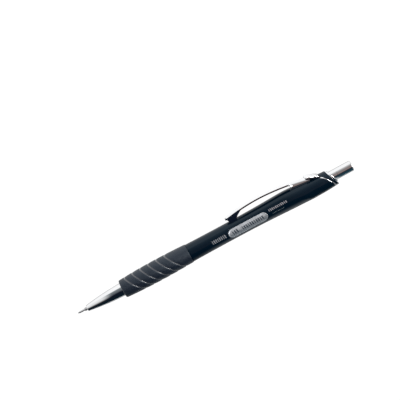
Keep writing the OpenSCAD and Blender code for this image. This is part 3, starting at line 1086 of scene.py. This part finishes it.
def paint_all(made):
    """Gives every piece and every CAD node that still shows the finish of its slot."""
    finishes = {
        "barrel_plastic": barrel_plastic(),
        "grip_rubber": grip_rubber(),
        "badge_foil": badge_foil(),
        "brass": brass(),
        "chrome": chrome(),
        "pipe_steel": steel("drawn_steel", (0.62, 0.62, 0.63), 0.08),
        "spring_steel": steel("spring_steel", (0.56, 0.57, 0.59), 0.06),
        "coupling_plastic": moulded("grey_moulding", (0.27, 0.28, 0.29), (0.36, 0.37, 0.38)),
        "tube_plastic": moulded("natural_moulding", (0.7, 0.69, 0.64), (0.8, 0.79, 0.74), 0.3),
        "retainer_rubber": moulded("red_rubber", (0.24, 0.06, 0.05), (0.34, 0.1, 0.08)),
        "eraser_rubber": eraser_rubber(),
        "graphite": graphite(),
    }
    inks = {
        "badge_bars": ink("dark_ink", (0.03, 0.05, 0.07), (0.012, 0.022, 0.035)),
        "front_bars": ink("pale_ink", (0.1, 0.11, 0.125), (0.22, 0.23, 0.25)),
        "rear_bars": ink("grey_ink", (0.12, 0.12, 0.13), (0.26, 0.25, 0.27)),
        "small_bars": ink("faint_ink", (0.04, 0.06, 0.07), (0.1, 0.13, 0.14)),
    }
    extra = {"grip_sleeve": [groove_rubber_painted_highlight()], "clip_strip": [clip_edge_painted_shade(), clip_heel_painted_shade()]}
    for piece in made:
        wear(piece, inks.get(piece.name) or finishes[piece["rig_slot"]])
        for material in extra.get(piece.name, ()):
            piece.data.materials.append(material)
    for entry in RECORD["subparts"]:
        node = NODES[entry["node"]]
        if not node.hide_render:
            wear(node, finishes[entry["material_slot"]])


def wear(piece, material):
    slots = piece.material_slots
    if not slots:
        piece.data.materials.append(material)
    for slot in slots:
        slot.material = material


# ---- camera, floor and light

def add_camera():
    """The photo's view: from in front (-Y) and above, with the picture turned so that the clip
    is uppermost. The numbers were fitted to the photo."""
    tilt, turn = math.radians(51.85), math.radians(28.4)
    distance, aside, above = 0.5183, -0.00696, 0.01832
    back = Vector((0, -math.cos(tilt), math.sin(tilt)))
    along = Vector((-1, 0, 0))
    clipward = Vector((0, -math.sin(tilt), -math.cos(tilt)))
    right = along * math.cos(turn) - clipward * math.sin(turn)
    top = along * math.sin(turn) + clipward * math.cos(turn)
    aim = polar(0, 0, PENCIL_L / 2) + right * aside + top * above
    camera = bpy.data.objects.new("camera", bpy.data.cameras.new("camera"))
    camera.data.lens, camera.data.sensor_width = 100, 36
    camera.data.clip_start, camera.data.clip_end = 0.01, 20
    camera.matrix_world = Matrix.Translation(aim + back * distance) @ Matrix(
        (right, top, back)).transposed().to_4x4()
    bpy.context.scene.collection.objects.link(camera)
    bpy.context.scene.camera = camera


def add_floor():
    """A plain white light table, whose glow holds a painted shadow behind the pencil."""
    bm = bmesh.new()
    half = 3.0
    corners = ((-half, -half), (half, -half), (half, half), (-half, half))
    bm.faces.new([bm.verts.new((x, y, 0)) for x, y in corners])
    mesh = bpy.data.meshes.new("floor")
    bm.to_mesh(mesh)
    bm.free()
    floor = bpy.data.objects.new("floor", mesh)
    bpy.context.scene.collection.objects.link(floor)
    material = bpy.data.materials.new("light_table")
    material.use_nodes = True
    shader = material.node_tree.nodes["Principled BSDF"]
    shader.inputs["Base Color"].default_value = (0.1, 0.1, 0.1, 1)
    shader.inputs["Roughness"].default_value = 1
    shader.inputs["Specular IOR Level"].default_value = 0
    shader.inputs["Emission Color"].default_value = (1, 1, 1, 1)
    material.node_tree.links.new(floor_glow_painted_shadow(material.node_tree), shader.inputs["Emission Strength"])
    mesh.materials.append(material)


def floor_glow_painted_shadow(tree):
    """The camera sees the table evenly white. As a light it holds a painted shadow: it is dim just behind the
    pencil, and bright in front of it and farther behind, which was fitted to the photo's reflections."""
    coords = tree.nodes.new("ShaderNodeTexCoord")
    parts = tree.nodes.new("ShaderNodeSeparateXYZ")
    tree.links.new(coords.outputs["Object"], parts.inputs["Vector"])
    # Painted shadow: the glow drops to 0.15 just behind the pencil, and rises again farther behind.
    ahead = ranged(tree, parts.outputs["Y"], -0.004, 0.003, 1.0, 0.15)
    beyond = ranged(tree, parts.outputs["Y"], 0.02, 0.12, 0.0, 0.85)
    rays = tree.nodes.new("ShaderNodeLightPath")
    return number(tree, "MAXIMUM", number(tree, "ADD", ahead, beyond),
                  rays.outputs["Is Camera Ray"])


def add_studio():
    """A white backdrop for the camera, and for everything else the studio's light by direction."""
    world = bpy.data.worlds.new("studio")
    bpy.context.scene.world = world
    world.use_nodes = True
    tree = world.node_tree
    tree.nodes.clear()
    out = tree.nodes.new("ShaderNodeOutputWorld")
    mix = tree.nodes.new("ShaderNodeMixShader")
    seen = tree.nodes.new("ShaderNodeBackground")
    lit = tree.nodes.new("ShaderNodeBackground")
    rays = tree.nodes.new("ShaderNodeLightPath")
    tree.links.new(rays.outputs["Is Camera Ray"], mix.inputs["Fac"])
    tree.links.new(lit.outputs[0], mix.inputs[1])
    tree.links.new(seen.outputs[0], mix.inputs[2])
    tree.links.new(mix.outputs[0], out.inputs["Surface"])
    seen.inputs["Color"].default_value = (1, 1, 1, 1)
    tree.links.new(studio_color(tree), lit.inputs["Color"])


def add_key():
    """A soft strip lamp over the pencil's button end, for the glints in the grip's grooves
    and on the badge."""
    lamp = bpy.data.lights.new("key", "AREA")
    lamp.shape, lamp.size, lamp.size_y, lamp.energy = "RECTANGLE", 0.2, 1.1, 9.0
    holder = bpy.data.objects.new("key", lamp)
    distance = 1.1
    toward = Vector((-0.5, -0.46, 0.73)).normalized()
    along = Vector((0, toward.z, -toward.y)).normalized()
    turn = Matrix((along.cross(toward), along, toward)).transposed()
    place = polar(0, 0, PENCIL_L / 2) + toward * distance
    holder.matrix_world = Matrix.Translation(place) @ turn.to_4x4()
    bpy.context.scene.collection.objects.link(holder)


def grey(value):
    return value, value, value


# The studio's brightness as (angle, colour). The angle goes over the table from the front (0)
# through overhead (90) to the back (180), in degrees. The values were fitted to the photo.
# From overhead to the back: LIT for directions that lean a little towards the button, DEEP for
# those that lean farther, and DARK for those towards the tip or well to either side.
LIT = [(112, (0.012, 0.035, 0.055)), (126, (0.03, 0.06, 0.08)), (140, (0.4, 0.44, 0.47)),
       (152, (0.85, 0.88, 0.9)), (179, (0.92, 0.94, 0.96))]
DEEP = [(112, (0.012, 0.035, 0.055)), (150, (0.017, 0.06, 0.085)), (166, (0.05, 0.1, 0.12)),
        (177, (0.2, 0.24, 0.26)), (179.5, (0.8, 0.83, 0.85))]
DARK = [(120, (0.004, 0.01, 0.018)), (155, (0.004, 0.012, 0.022)), (170, (0.02, 0.04, 0.05)),
        (178, (0.2, 0.24, 0.26)), (179.5, (0.8, 0.83, 0.85))]
# From the front to overhead: OVER towards the button, FRONT towards the tip, and ASIDE well to
# either side.
OVER = [(0, grey(0.88)), (8, grey(0.72)), (20, (0.5, 0.49, 0.49)), (34, (0.34, 0.33, 0.33)),
        (52, (0.25, 0.205, 0.195)), (75, (0.3, 0.235, 0.225)), (84, (0.03, 0.03, 0.035))]
FRONT = [(0, (0.84, 0.86, 0.88)), (4, (0.62, 0.65, 0.67)), (10, (0.25, 0.27, 0.28)),
         (28, (0.17, 0.19, 0.2)), (46, (0.125, 0.14, 0.16)), (56, (0.085, 0.1, 0.115)),
         (65, (0.026, 0.03, 0.042)), (74, (0.006, 0.009, 0.018))]
ASIDE = [(0, grey(0.95)), (40, grey(0.88)), (60, grey(0.55)), (73, grey(0.24)),
         (84, (0.02, 0.02, 0.025))]
# Off the pencil's ends, by height over the table.
ENDS = [(0, grey(0.95)), (25, grey(0.9)), (48, grey(0.3)), (75, (0.02, 0.03, 0.04))]


def studio_color(tree):
    """Brightness by direction: by the angle over the table, and by how far towards the button
    (x below 0) or the tip (x over 0)."""
    def ramp(value, stops):
        node = tree.nodes.new("ShaderNodeValToRGB")
        marks = node.color_ramp.elements
        while len(marks) < len(stops):
            marks.new(1.0)
        for mark, (where, color) in zip(marks, stops):
            mark.position = where / 180
            mark.color = (*color, 1)
        tree.links.new(value, node.inputs["Fac"])
        return node.outputs["Color"]

    ray = tree.nodes.new("ShaderNodeTexCoord").outputs["Generated"]
    parts = tree.nodes.new("ShaderNodeSeparateXYZ")
    tree.links.new(ray, parts.inputs[0])
    x, y, z = parts.outputs
    sideways = number(tree, "ABSOLUTE", x)
    turned_up = number(tree, "ARCTAN2", z, number(tree, "MULTIPLY", y, -1.0))
    angle = number(tree, "DIVIDE", turned_up, math.pi)
    height = number(tree, "DIVIDE", number(tree, "ARCSINE", z), math.pi)

    rear = blended(tree, ranged(tree, x, -0.115, -0.07, 1.0, 0.0),
                   ramp(angle, OVER + LIT), ramp(angle, OVER + DEEP))
    along = blended(tree, ranged(tree, x, -0.01, 0.025, 1.0, 0.0), ramp(angle, FRONT + DARK), rear)
    tilted = blended(tree, ranged(tree, sideways, 0.225, 0.32, 0.0, 1.0),
                     along, ramp(angle, ASIDE + DARK))
    ends = blended(tree, ranged(tree, sideways, 0.4, 0.75, 0.0, 1.0), tilted, ramp(height, ENDS))
    across = number(tree, "MULTIPLY", ranged(tree, x, -0.36, -0.3, 1.0, 0.0),
                    ranged(tree, x, -0.66, -0.58, 0.0, 1.0))
    strip = number(tree, "MULTIPLY", across, ranged(tree, angle, 0.5, 0.58, 1.0, 0.0))
    return blended(tree, strip, ends, grey(0.7))


def set_view():
    bpy.context.scene.view_settings.view_transform = "Standard"
    bpy.context.scene.view_settings.look = "None"


def build():
    made = [make_nose_cone(), make_lead_sleeve(), make_lead(), make_grip(), make_barrel(),
            make_badge(), *make_prints(), make_clip_arm(), make_clip_collar(), make_end_cap(),
            make_bezel(), make_button(), make_ferrule(), make_eraser(), make_spring()]
    paint_all(made)
    add_camera()
    add_floor()
    add_studio()
    add_key()
    set_view()


build()
